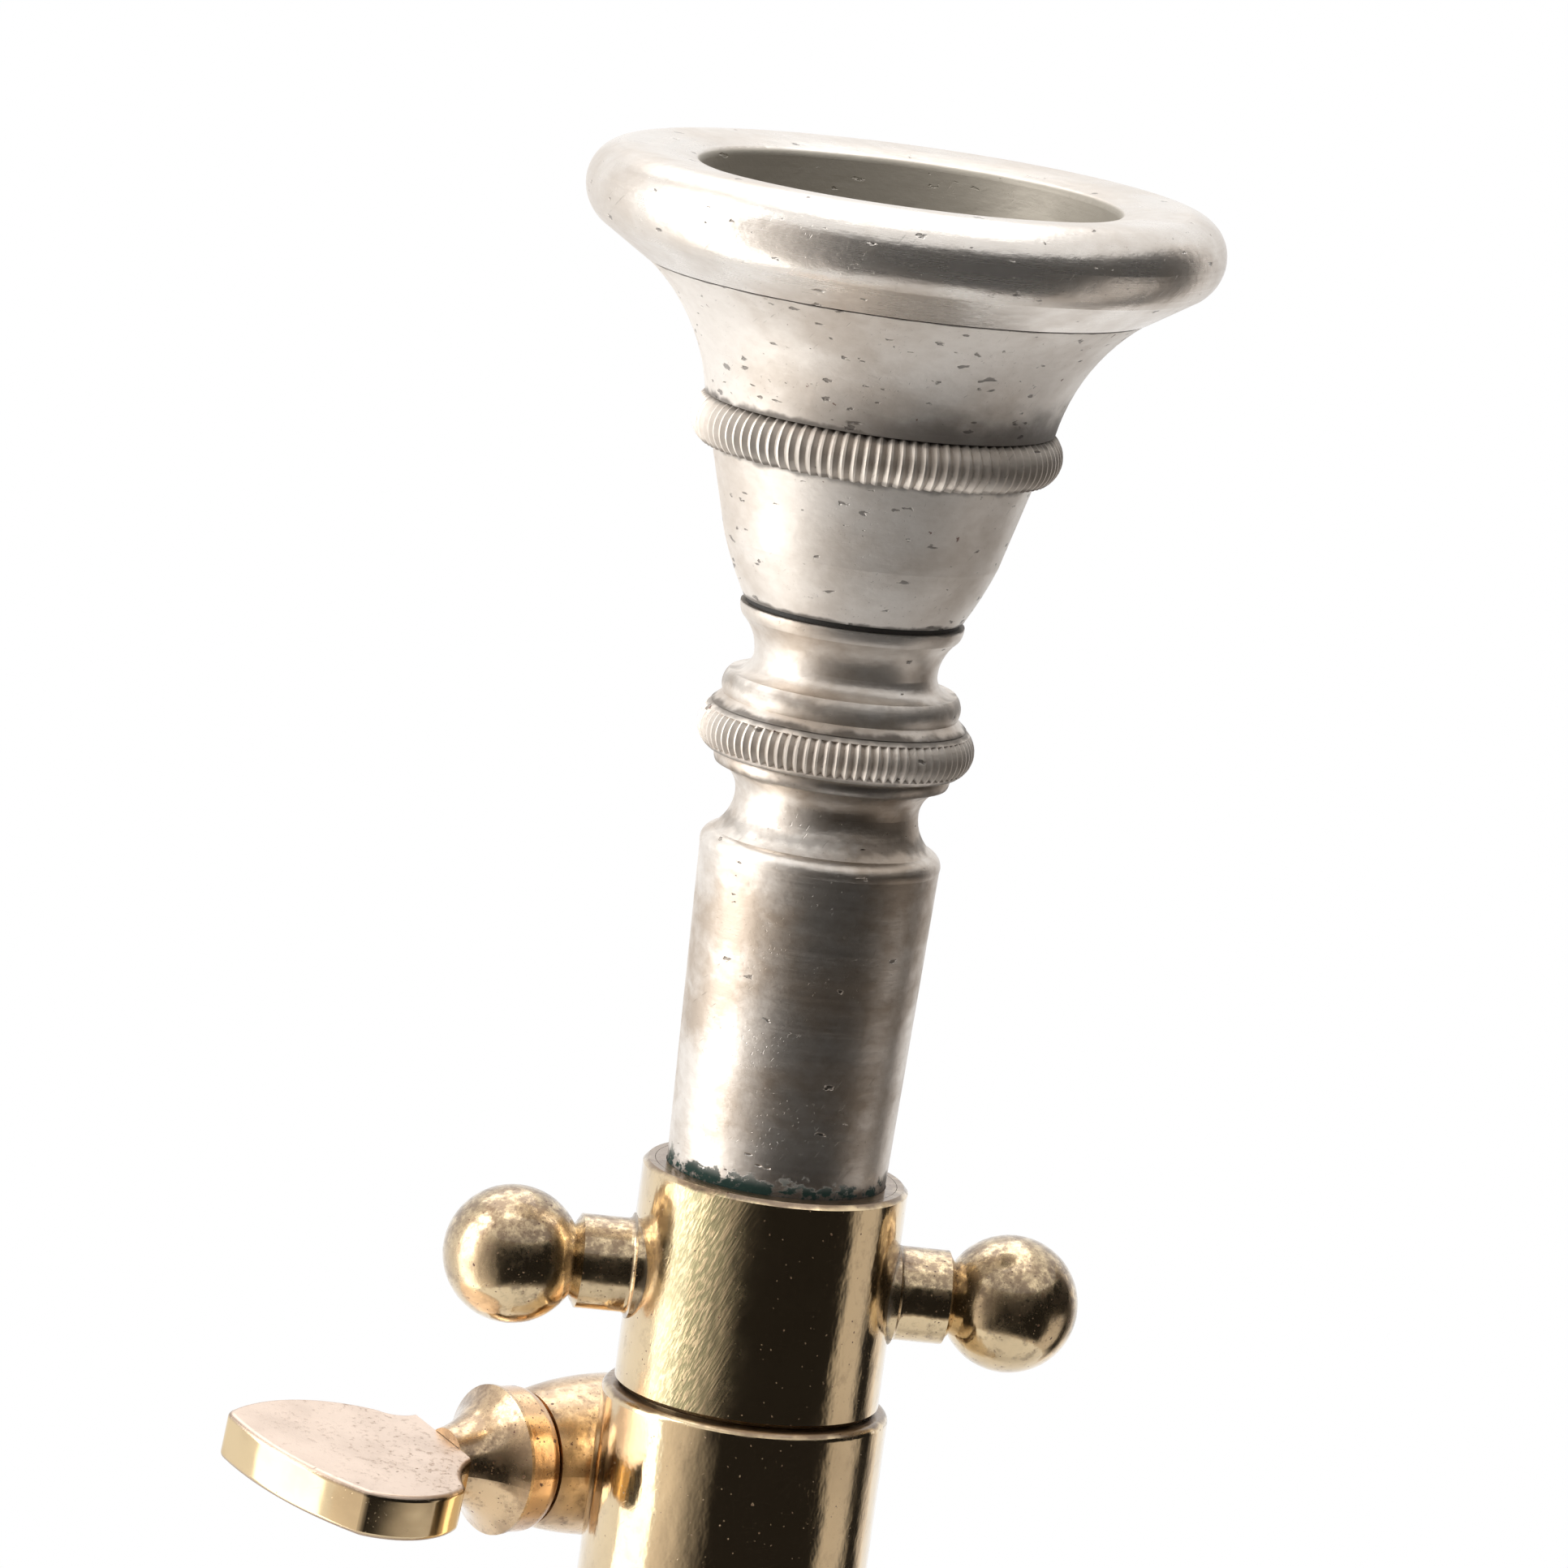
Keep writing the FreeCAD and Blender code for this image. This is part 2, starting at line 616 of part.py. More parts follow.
def make_stem():
    """Baluster stem: tenon below, threaded spigot above, throat inside, and its milled ring."""
    shoulder = "tenon_depth + stem_ring_height"
    bead = f"{shoulder} + stem_shoulder_rise"
    cove = f"{bead} + stem_bead_height"
    waist = f"{cove} + stem_cove_height"
    flare = f"{waist} + stem_flare_height"
    lip = f"{flare} + stem_lip_height"
    top = f"{lip} + spigot_height"
    body = turned("mouthpiece_stem", [
        ("tenon_bore", "0"),
        ("tenon_radius", "0"),
        ("tenon_radius", f"{shoulder} + solder_gap"),
        ("stem_shoulder_radius", f"{shoulder} + solder_gap"),
        ("stem_bead_foot_radius", bead, "stem_bead_swell"),
        ("stem_bead_top_radius", cove, "-stem_cove_hollow"),
        ("stem_waist_radius", waist, "-stem_flare_hollow"),
        ("stem_flare_radius", flare, "stem_lip_swell"),
        ("stem_lip_radius", lip),
        ("spigot_radius", lip),
        ("spigot_radius", top),
        ("spigot_bore", top),
        ("throat_radius", f"{lip} - throat_depth"),
    ])
    stand(body, f"{STEM_BASE} - tenon_depth")

    ring = milled_ring("stem_milled_ring", "tenon_radius + solder_gap", "stem_ring")
    stand(ring, f"{STEM_BASE} + stem_ring_height / 2")

    washer = turned("joint_washer", [
        ("spigot_radius + thread_clearance", "0"),
        ("washer_radius", "0"),
        ("washer_radius", "washer_thickness"),
        ("spigot_radius + thread_clearance", "washer_thickness"),
    ])
    stand(washer, WASHER_BASE)


def make_cup():
    """Flared cup with a threaded socket below, a seat for its milled ring and a recess for the rim."""
    neck = "cup_bowl_height"
    seat = f"{neck} + cup_neck_height"
    flare = f"{seat} + cup_ring_height"
    socket_top = "spigot_height + thread_clearance"
    recess = f"{CUP_HEIGHT} - rim_seat_depth"
    body = turned("mouthpiece_cup", [
        ("spigot_radius + thread_clearance", "0"),
        ("cup_foot_radius", "0", "cup_bowl_swell"),
        ("cup_bowl_radius", neck),
        ("cup_seat_radius", seat),
        ("cup_seat_radius", f"{flare} + solder_gap"),
        ("cup_flare_base_radius", f"{flare} + solder_gap", "-cup_flare_hollow"),
        ("cup_flare_radius", CUP_HEIGHT),
        ("rim_seat_radius + solder_gap", CUP_HEIGHT),
        ("rim_seat_radius + solder_gap", recess),
        ("cup_funnel_radius", recess, "-cup_funnel_swell"),
        ("spigot_bore + thread_clearance", socket_top),
        ("spigot_radius + thread_clearance", socket_top),
    ])
    stand(body, CUP_BASE)

    ring = milled_ring("cup_milled_ring", "cup_seat_radius + solder_gap", "cup_ring")
    stand(ring, f"{CUP_RING_BASE} + cup_ring_height / 2")


def make_rim():
    """Broad rim with a round shoulder, a flat crest and a tight inner edge, let into the cup by a seat."""
    under = "rim_seat_depth + rim_under_height"
    widest = f"{under} + rim_side_height"
    crest = f"{widest} + rim_crest_rise"
    inner = f"{crest} - rim_inner_drop"
    body = turned("mouthpiece_rim", [
        ("cup_funnel_radius", "0"),
        ("rim_seat_radius", "0"),
        ("rim_seat_radius", "rim_seat_depth"),
        ("rim_base_radius", "rim_seat_depth"),
        ("rim_under_radius", under, "rim_side_swell"),
        ("rim_radius", widest, "rim_shoulder_swell"),
        ("rim_crest_radius", crest, "rim_top_swell"),
        ("rim_inner_radius", inner, "rim_edge_swell"),
        ("rim_bite_radius", f"{inner} - rim_bite_drop"),
    ])
    stand(body, f"{RIM_BASE} - rim_seat_depth")


def check_document():
    """Stop if any feature failed or any sub-part is empty or broken."""
    for item in DOC.Objects:
        if "Invalid" in item.State or "Error" in item.State:
            raise RuntimeError(f"{item.Label}: {item.State}")
    for piece in PIECES:
        shape = piece.Shape
        if shape.isNull() or not shape.isValid() or len(shape.Solids) != 1:
            raise RuntimeError(f"{piece.Label} is not one sound solid")


def write_parts():
    """Write each sub-part to its own file."""
    os.makedirs("parts", exist_ok=True)
    for piece in PIECES:
        piece.Shape.exportStep(f"parts/{piece.Label}.step")
        print(f"{piece.Label}: {piece.Shape.Volume:.2f} mm3")


make_receiver()
make_ferrule()
make_lugs()
make_screw()
make_bell()
make_wing()
make_mouthpipe()
make_knobs()
make_shank()
make_stem()
make_cup()
make_rim()
DOC.recompute()
check_document()
write_parts()
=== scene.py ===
import json
import math

import bpy
from bpy.props import FloatProperty, FloatVectorProperty, PointerProperty
from mathutils import Matrix, Vector


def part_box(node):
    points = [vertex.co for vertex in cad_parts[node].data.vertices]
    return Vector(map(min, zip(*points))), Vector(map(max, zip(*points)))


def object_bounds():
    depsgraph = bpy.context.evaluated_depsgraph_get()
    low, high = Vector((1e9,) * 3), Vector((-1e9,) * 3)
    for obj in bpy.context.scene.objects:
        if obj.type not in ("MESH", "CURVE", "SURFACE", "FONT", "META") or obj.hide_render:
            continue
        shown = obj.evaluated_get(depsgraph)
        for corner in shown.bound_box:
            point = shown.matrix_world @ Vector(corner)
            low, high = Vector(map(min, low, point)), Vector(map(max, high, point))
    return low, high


bl_info = {
    "name": "Mouthpiece and Tuning Receiver",
    "version": (1, 0, 0),
    "blender": (4, 5, 0),
    "location": "View3D > Sidebar > Mouthpiece",
    "description": "Finishes a mouthpiece and its tuning receiver, and sets them in a studio",
    "category": "Object",
}

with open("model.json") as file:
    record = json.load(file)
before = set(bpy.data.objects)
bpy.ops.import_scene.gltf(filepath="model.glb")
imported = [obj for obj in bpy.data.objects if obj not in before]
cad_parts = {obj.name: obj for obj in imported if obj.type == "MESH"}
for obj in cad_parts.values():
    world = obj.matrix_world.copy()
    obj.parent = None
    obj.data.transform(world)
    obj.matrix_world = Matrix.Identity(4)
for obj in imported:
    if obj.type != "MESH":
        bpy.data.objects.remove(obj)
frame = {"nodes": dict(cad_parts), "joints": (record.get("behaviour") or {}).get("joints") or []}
CAD_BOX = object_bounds()

MM = 1000.0
WHITE = (1.0, 1.0, 1.0, 1.0)

# Wing of the thumbscrew: its roll in degrees, and half its thickness in millimetres
WING_ROLL = 8.0
WING_HALF_THICKNESS = 1.05

# Camera: the picture's width in pixels, lengths in metres, and the sensor's width in millimetres
PHOTO_PIXELS = 1932
AIM_ABOVE_COLLAR = 0.01417
NEAR_CLIP = 0.01
SENSOR_WIDTH = 36.0

# Floor and lights, in metres
FLOOR_RADIUS = 3.0
FLOOR_LEVEL = -0.0005
FLOOR_GREY = (0.9, 0.9, 0.9, 1.0)
SOFTBOX_PLACE = (-0.21, -0.035, 0.13)
SOFTBOX_SIZE = (0.115, 0.26)
OVERHEAD_PLACE = (-0.08, 0.22, 0.78)
OVERHEAD_SIZE = (0.7, 1.1)

# Cards that only reflections show, in metres; sectors are degrees round the air column from the camera's side
CARD_RADIUS = 1.0
CARD_HEIGHT = 0.68
CARD_NEAR_EDGE = 0.05
CARD_LEVEL = 0.0008
DARK_SECTOR = (-61.0, 140.0)
DARK_GLOW = 0.018
DARK_TINT = (1.0, 0.92, 0.85, 1.0)
WHITE_SECTOR = (-96.0, -63.0)
WHITE_RADIUS = 0.5
WHITE_LEVEL = 0.0012
WHITE_GLOW = 3.0
WHITE_TINT = (1.0, 0.98, 0.94, 1.0)

# Fades of the floor and the dark card from no glow to full, in millimetres from the origin or in degrees
FLOOR_FADE = (30.0, 85.0)
FOOT_FADE = (68.0, 38.0)
LEFT_FADE = (-12.0, -66.0)
RIGHT_FADE = (122.0, 140.0)
STRIP_LEFT_FADE = (70.0, 84.0)
STRIP_RIGHT_FADE = (114.0, 100.0)
STRIP_FAR_FADE = (480.0, 260.0)
STRIP_GLOW = 0.6


def base_mm(node):
    """Lowest level of a CAD node, in millimetres."""
    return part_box(node)[0].z * MM


def top_mm(node):
    """Highest level of a CAD node, in millimetres."""
    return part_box(node)[1].z * MM


def colour_property(name, description, default):
    """A colour that a user may change."""
    return FloatVectorProperty(
        name=name, description=description, subtype="COLOR", size=3, min=0, max=1, default=default
    )


def share_property(name, description, default):
    """A share from none to all that a user may change."""
    return FloatProperty(
        name=name, description=description, subtype="FACTOR", min=0, max=1, default=default
    )


class SilverFinish(bpy.types.PropertyGroup):
    """Colours and wear of the silvered mouthpiece."""

    plate: colour_property("Plate", "Rubbed silver plate", (0.82, 0.765, 0.705))
    tarnish: colour_property("Tarnish", "Warm film over the plate", (0.50, 0.42, 0.345))
    # The grime colour also paints the shade that lies just above the cup's milled ring.
    grime_and_shade: colour_property("Grime", "Dirt in grooves and seams", (0.045, 0.036, 0.03))
    # The bowl colour is partly dull tarnish and partly painted shade of the hollow.
    bowl_and_shade: colour_property("Bowl", "Dull grey inside the cup", (0.40, 0.365, 0.31))
    rust: colour_property("Rust", "Small red spots", (0.14, 0.045, 0.025))
    verdigris: colour_property(
        "Verdigris", "Green crust where the shank meets brass", (0.02, 0.05, 0.04)
    )
    roughness: share_property("Roughness", "Roughness of the rubbed plate", 0.34)


class BrassFinish(bpy.types.PropertyGroup):
    """Colours and wear of the brass pieces."""

    gilt: colour_property("Gilt", "Polished brass", (0.78, 0.605, 0.365))
    copper_gilt: colour_property(
        "Copper Gilt", "Polished brass with a little copper bloom", (0.78, 0.56, 0.33)
    )
    orange: colour_property("Orange", "Brass with a copper bloom", (0.78, 0.50, 0.27))
    satin: colour_property("Satin", "Brass rubbed dull by the thumb", (0.68, 0.55, 0.455))
    olive: colour_property("Olive", "Brass brushed by hand", (0.34, 0.30, 0.16))
    tarnish: colour_property("Tarnish", "Brown tarnish", (0.13, 0.07, 0.04))
    speck: colour_property("Speck", "Red specks", (0.14, 0.04, 0.02))
    solder: colour_property("Solder", "Grey solder at the roots of the knobs", (0.3, 0.25, 0.2))
    packing: colour_property("Packing", "Dark packing in the joint", (0.022, 0.019, 0.016))
    roughness: share_property("Roughness", "Roughness of the polish", 0.1)
    lacquer: share_property("Lacquer", "How much clear lacquer is left", 0.8)


class StudioSettings(bpy.types.PropertyGroup):
    """Camera and light of the studio."""

    distance: FloatProperty(
        name="Distance", description="From the camera to the shoulder of the shank",
        subtype="DISTANCE", default=0.38
    )
    elevation: FloatProperty(
        name="Elevation", description="Height of the camera above the horizon",
        subtype="ANGLE", default=math.radians(10.85)
    )
    lean: FloatProperty(
        name="Lean", description="How far the object leans to the right in the picture",
        subtype="ANGLE", default=math.radians(7.8)
    )
    focal_pixels: FloatProperty(
        name="Focal Length", description="Focal length, in pixels of the picture", default=10926.0
    )
    shift_right: FloatProperty(
        name="Shift Right", description="Pixels from the picture's middle to the shoulder, across",
        default=44.3
    )
    shift_down: FloatProperty(
        name="Shift Down", description="Pixels from the picture's middle to the shoulder, down",
        default=83.7
    )
    softbox: FloatProperty(
        name="Softbox", description="Brightness of the tall light on the left", default=4.0
    )
    overhead: FloatProperty(
        name="Overhead", description="Brightness of the light overhead", default=1.5
    )
    ambient: FloatProperty(
        name="Ambient", description="Brightness of the room on matt surfaces", default=0.35
    )


class Shader:
    """A material being wired, with short ways to add nodes and join them."""

    def __init__(self, name):
        self.material = bpy.data.materials.new(name)
        self.material.use_nodes = True
        self.tree = self.material.node_tree
        self.surface = self.tree.nodes["Principled BSDF"]
        self.surface.inputs["Metallic"].default_value = 1.0
        coordinates = self.tree.nodes.new("ShaderNodeTexCoord").outputs
        self.place = self.vector("SCALE", coordinates["Object"], Scale=MM)
        self.normal = coordinates["Normal"]
        self.x, self.y, self.z = self.split(self.place)

    def join(self, value, socket):
        """Link a socket, or set its value."""
        if isinstance(value, bpy.types.NodeSocket):
            self.tree.links.new(value, socket)
        else:
            socket.default_value = value

    def add(self, kind, inputs, output=0, **settings):
        """Add a node with its inputs by name or number, and give one of its outputs."""
        node = self.tree.nodes.new(kind)
        for setting, value in settings.items():
            setattr(node, setting, value)
        for socket, value in inputs.items():
            self.join(value, node.inputs[socket])
        return node.outputs[output]

    def vector(self, operation, first, second=None, **inputs):
        """One step of vector arithmetic."""
        sockets = {0: first, **inputs}
        if second is not None:
            sockets[1] = second
        output = "Value" if operation in ("DOT_PRODUCT", "LENGTH", "DISTANCE") else "Vector"
        return self.add("ShaderNodeVectorMath", sockets, output, operation=operation)

    def split(self, vector):
        """The three parts of a vector."""
        node = self.tree.nodes.new("ShaderNodeSeparateXYZ")
        self.join(vector, node.inputs[0])
        return tuple(node.outputs)

    def math(self, operation, *values):
        """One step of arithmetic."""
        return self.add("ShaderNodeMath", dict(enumerate(values)), operation=operation)

    def product(self, *values):
        """All values multiplied."""
        result = values[0]
        for value in values[1:]:
            result = self.math("MULTIPLY", result, value)
        return result

    def total(self, *values):
        """All values added."""
        result = values[0]
        for value in values[1:]:
            result = self.math("ADD", result, value)
        return result

    def largest(self, *values):
        """The largest of the values."""
        result = values[0]
        for value in values[1:]:
            result = self.math("MAXIMUM", result, value)
        return result

    def less(self, value, share=1.0):
        """One, less a share of a value."""
        return self.math("MULTIPLY_ADD", value, -share, 1.0)

    def between(self, value, low, high):
        """A smooth step from 0 at low to 1 at high; low may be the larger."""
        sockets = {"Value": value, "From Min": low, "From Max": high}
        return self.add("ShaderNodeMapRange", sockets, interpolation_type="SMOOTHSTEP")

    def mix(self, share, first, second):
        """A colour between two others."""
        sockets = {0: share, 6: solid(first), 7: solid(second)}
        return self.add("ShaderNodeMix", sockets, 2, data_type="RGBA")

    def stretched(self, scale, turn=(0, 0, 0)):
        """Place in millimetres, turned by degrees and then scaled along each axis."""
        angles = [math.radians(angle) for angle in turn]
        turned = self.add("ShaderNodeMapping", {"Vector": self.place, "Rotation": angles})
        return self.vector("MULTIPLY", turned, scale)

    def noise(self, scale, detail=3.0, turn=(0, 0, 0), roughness=0.55):
        """Cloudy noise, with features of about one over the scale in millimetres along each axis."""
        place = self.stretched(scale, turn)
        sockets = {"Vector": place, "Scale": 1.0, "Detail": detail, "Roughness": roughness}
        return self.add("ShaderNodeTexNoise", sockets)

    def spots(self, scale, keep, size, shift=0.0):
        """Scattered ragged spots: a share of the cells of a scale, each up to a size of its cell."""
        moved = self.vector("ADD", self.stretched(scale), (shift,) * 3)
        wander = self.add("ShaderNodeTexNoise", {"Vector": moved, "Scale": 2.6, "Detail": 2.0}, "Color")
        bent = self.vector("ADD", moved, self.vector("SCALE", wander, Scale=0.7))
        node = self.tree.nodes.new("ShaderNodeTexVoronoi")
        self.join(bent, node.inputs["Vector"])
        node.inputs["Scale"].default_value = 1.0
        chance, spread, _ = self.split(node.outputs["Color"])
        kept = self.math("LESS_THAN", chance, keep)
        reach = self.math("MULTIPLY_ADD", spread, 0.7 * size, 0.3 * size)
        edge = self.math("SUBTRACT", reach, node.outputs["Distance"])
        return self.product(kept, self.between(edge, 0.0, 0.35 * size))

    def scratches(self, scale, turn, keep):
        """Hairlines along one direction, more of them for a larger keep."""
        fine = self.noise(scale, 1.0, turn)
        patch = self.noise((0.35,) * 3, 1.0, turn)
        lines = self.between(fine, 0.72 - keep, 0.78 - keep)
        return self.product(lines, self.between(patch, 0.42, 0.62))

    def bands(self, levels):
        """Dirt along level lines: each has a level, how far it spreads and how strong it is."""
        waver = self.math("MULTIPLY_ADD", self.noise((0.8,) * 3, 3.0), 2.4, -1.2)
        masks = []
        for middle, spread, strength in levels:
            level = self.math("MULTIPLY_ADD", waver, spread, self.z)
            away = self.math("ABSOLUTE", self.math("SUBTRACT", level, middle))
            masks.append(self.product(self.between(away, spread, spread * 0.15), strength))
        return self.largest(*masks)

    def azimuth(self):
        """Angle round the air column from the camera's side, positive to the right, in degrees."""
        turn = self.math("ARCTAN2", self.x, self.math("MULTIPLY", self.y, -1.0))
        return self.math("DEGREES", turn)

    def inside(self):
        """One on walls that face the air column."""
        level = self.vector("MULTIPLY", self.place, (1.0, 1.0, 0.0))
        outward = self.vector("DOT_PRODUCT", self.vector("NORMALIZE", level), self.normal)
        return self.between(outward, -0.4, -0.8)

    def finish(self, colour, roughness, height_mm):
        """Join colour, roughness and a height in millimetres to the surface."""
        self.join(colour, self.surface.inputs["Base Color"])
        self.join(roughness, self.surface.inputs["Roughness"])
        bump = {"Height": height_mm, "Distance": 1.0 / MM, "Strength": 1.0}
        self.join(self.add("ShaderNodeBump", bump), self.surface.inputs["Normal"])
        return self.material


def solid(colour):
    """A colour with full cover, unless it is a link."""
    if isinstance(colour, bpy.types.NodeSocket):
        return colour
    return (*colour[:3], 1.0)


def dress(material, *nodes):
    """Give CAD nodes a finished material."""
    for node in nodes:
        frame["nodes"][node].material_slots[0].material = material


def worn_silver(
    name, finish, grime_levels, dents=0.1, film=0.5, polish=0.0, bare=1.0, shadow=None, crust_level=None
):
    """Rubbed silver plate, bare or dulled: turning lines, hairlines, dents, warm film, dirt by level, painted
    shade just above a shadow level, and a darker inside that is partly painted shade of the hollow.
    """
    shader = Shader(name)
    shader.surface.inputs["Metallic"].default_value = bare
    cloud = shader.noise((0.2, 0.2, 0.26), 5.0)
    patches = shader.between(cloud, 0.38, 0.66)
    mottle = shader.noise((1.5, 1.5, 2.4), 4.0)
    turning = shader.noise((0.1, 0.1, 14.0), 3.0)
    hair = shader.largest(
        shader.scratches((0.5, 9.0, 9.0), (20, 35, 60), 0.02),
        shader.scratches((9.0, 9.0, 0.45), (25, -30, 10), 0.03),
    )
    chips = shader.largest(
        shader.spots((0.4, 0.4, 1.1), dents, 0.2),
        shader.spots((1.0, 1.0, 2.4), dents * 1.5, 0.28, 7.0),
    )
    rust = shader.spots((1.7, 1.7, 1.7), dents * 0.12, 0.22, 11.0)
    dirt = shader.bands(grime_levels)
    # With a shadow level, the dirt mask also carries painted shade just above it, on the right of the
    # camera's side.
    if shadow is not None:
        dirt = shader.largest(dirt, sided_painted_shade(shader, shadow))

    warm = shader.product(shader.total(patches, shader.math("MULTIPLY_ADD", mottle, 0.9, -0.35)), film)
    colour = shader.mix(shader.math("MINIMUM", warm, 1.0), finish.plate, finish.tarnish)
    colour = shader.mix(shader.product(hair, 0.2), colour, finish.grime_and_shade)
    colour = shader.mix(shader.product(chips, 0.6), colour, finish.grime_and_shade)
    colour = shader.mix(shader.product(rust, 0.8), colour, finish.rust)
    colour = shader.mix(dirt, colour, finish.grime_and_shade)
    # Walls facing the air column take the darker bowl colour: dull tarnish and painted shade of the hollow
    # together.
    inside = shader.inside()
    colour = shader.mix(inside, colour, finish.bowl_and_shade)
    rough = shader.total(
        finish.roughness - polish,
        shader.product(inside, 0.3),
        shader.math("MULTIPLY_ADD", turning, 0.16, -0.08),
        shader.product(patches, 0.08),
        shader.product(dirt, 0.3),
    )
    height = shader.total(
        shader.product(turning, 0.003),
        shader.product(cloud, 0.06),
        shader.product(mottle, 0.02),
        shader.product(hair, -0.006),
        shader.product(chips, -0.06),
    )
    if crust_level is not None:
        crust = verdigris(shader, crust_level)
        colour = shader.mix(crust, colour, finish.verdigris)
        rough = shader.total(rough, shader.product(crust, 0.5))
        height = shader.total(height, shader.product(crust, shader.noise((5.0,) * 3, 3.0), 0.02))
        shader.join(shader.less(crust, 0.9), shader.surface.inputs["Metallic"])
    return shader.finish(colour, rough, height)


def sided_painted_shade(shader, level):
    """Soft painted shade lying just above a level, to the right of the camera's side."""
    rise = shader.math("SUBTRACT", shader.z, level)
    ragged = shader.math("MULTIPLY_ADD", shader.noise((0.6, 0.6, 0.9), 4.0), 1.6, -0.8)
    soft_top = shader.between(shader.total(rise, ragged), 2.2, 0.2)
    lying = shader.product(soft_top, shader.between(rise, -0.4, 0.0))
    side = shader.azimuth()
    right = shader.product(shader.between(side, -50.0, 25.0), shader.between(side, 150.0, 90.0))
    return shader.product(lying, right, 0.75)


def verdigris(shader, level):
    """Green crust in a thin broken line just above a level, mostly to the left of the camera's side."""
    ragged = shader.noise((0.9, 0.9, 1.2), 5.0, roughness=0.7)
    rise = shader.math("SUBTRACT", shader.z, level)
    line = shader.product(shader.between(rise, 1.4, 0.2), shader.between(rise, -0.8, 0.0))
    side = shader.azimuth()
    front = shader.product(shader.between(side, -130.0, -70.0), shader.between(side, 70.0, -10.0))
    amount = shader.total(ragged, shader.product(line, 0.12), shader.product(front, line, 0.1))
    return shader.product(line, shader.between(amount, 0.64, 0.72))


def polished_brass(
    name, finish, base, speckle=0.2, film=0.3, grime_levels=(), dull=0.0, bloom=0.0, extra=None
):
    """Polished brass: hand-rubbed waves, specks, a film in patches, and a brown bloom on upward sides that is
    partly tarnish and partly a painted dark reflection.
    """
    shader = Shader(name)
    cloud = shader.noise((0.3,) * 3, 5.0)
    patches = shader.between(cloud, 0.45, 0.72)
    swell = shader.noise((0.28, 0.28, 0.12), 2.0)
    ripple = shader.noise((0.95, 0.95, 0.5), 3.0)
    fine = shader.noise((7.0,) * 3, 3.0)
    specks = shader.largest(
        shader.spots((2.8,) * 3, speckle * 0.4, 0.2 + 0.15 * speckle),
        shader.spots((7.0,) * 3, speckle, 0.3, 3.0),
    )
    stain = shader.product(shader.between(shader.noise((1.3,) * 3, 5.0, roughness=0.7), 0.5, 0.7), film)
    hair = shader.scratches((0.45, 10.0, 10.0), (35, 20, 50), 0.03)
    # Brown bloom on upward sides: partly tarnish, partly a painted dark reflection on the tops of the knobs.
    upward = shader.between(shader.split(shader.normal)[2], -0.3, 0.5)
    mottle = shader.between(shader.noise((1.8,) * 3, 6.0, roughness=0.75), 0.34, 0.6)
    top_tarnish_and_reflection = shader.product(upward, mottle, bloom)

    filmed = shader.product(patches, film)
    colour = shader.mix(shader.product(filmed, 0.6), base, finish.tarnish)
    colour = shader.mix(shader.product(stain, 0.6), colour, finish.tarnish)
    colour = shader.mix(shader.product(top_tarnish_and_reflection, 0.8), colour, finish.tarnish)
    rough = shader.total(
        finish.roughness + dull,
        shader.product(top_tarnish_and_reflection, 0.22),
        shader.product(filmed, 0.22),
        shader.product(stain, 0.2),
        shader.product(hair, 0.08),
        shader.math("MULTIPLY_ADD", fine, 0.05, -0.025),
    )
    height = shader.total(
        shader.product(swell, 0.09),
        shader.product(ripple, 0.032),
        shader.product(fine, 0.001),
        shader.product(hair, -0.0015),
        shader.product(specks, -0.012),
    )
    if extra is not None:
        colour, rough, height = extra(shader, finish, colour, rough, height)
    if grime_levels:
        dirt = shader.bands(grime_levels)
        colour = shader.mix(dirt, colour, finish.tarnish)
        rough = shader.total(rough, shader.product(dirt, 0.4))
    colour = shader.mix(shader.product(specks, 0.9), colour, finish.speck)
    rough = shader.total(rough, shader.product(specks, 0.4))
    shader.join(shader.less(specks, 0.7), shader.surface.inputs["Metallic"])
    shader.surface.inputs["Coat Weight"].default_value = finish.lacquer
    shader.surface.inputs["Coat Roughness"].default_value = finish.roughness
    return shader.finish(colour, rough, height)


def brushed_patch(shader, finish, colour, rough, height):
    """Slanting strokes where the collar is rubbed dull, to the left of the camera's side."""
    ragged = shader.math("MULTIPLY_ADD", shader.noise((0.5,) * 3, 3.0), 16.0, -8.0)
    side = shader.total(shader.azimuth(), ragged)
    rubbed = shader.product(shader.between(side, -52.0, -36.0), shader.between(side, 6.0, -24.0))
    strokes = shader.noise((9.0, 9.0, 0.4), 2.0, (0, -25, 0))
    bare = shader.between(strokes, 0.45, 0.6)
    colour = shader.mix(shader.product(rubbed, shader.less(bare, 0.8), 0.95), colour, finish.olive)
    rough = shader.total(rough, shader.product(rubbed, 0.26))
    height = shader.total(height, shader.product(rubbed, strokes, 0.022))
    return colour, rough, height


def soldered_root(shader, finish, colour, rough, height):
    """A little grey solder where a knob meets the collar."""
    away = shader.vector("LENGTH", shader.vector("MULTIPLY", shader.place, (1.0, 1.0, 0.0)))
    ragged = shader.math("MULTIPLY_ADD", shader.noise((0.9,) * 3, 4.0), 1.2, -0.6)
    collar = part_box("mouthpipe_collar")[1].x * MM
    grey = shader.between(shader.total(away, ragged), collar + 0.25, collar - 0.05)
    colour = shader.mix(shader.product(grey, 0.7), colour, finish.solder)
    rough = shader.total(rough, shader.product(grey, 0.25))
    return colour, rough, height


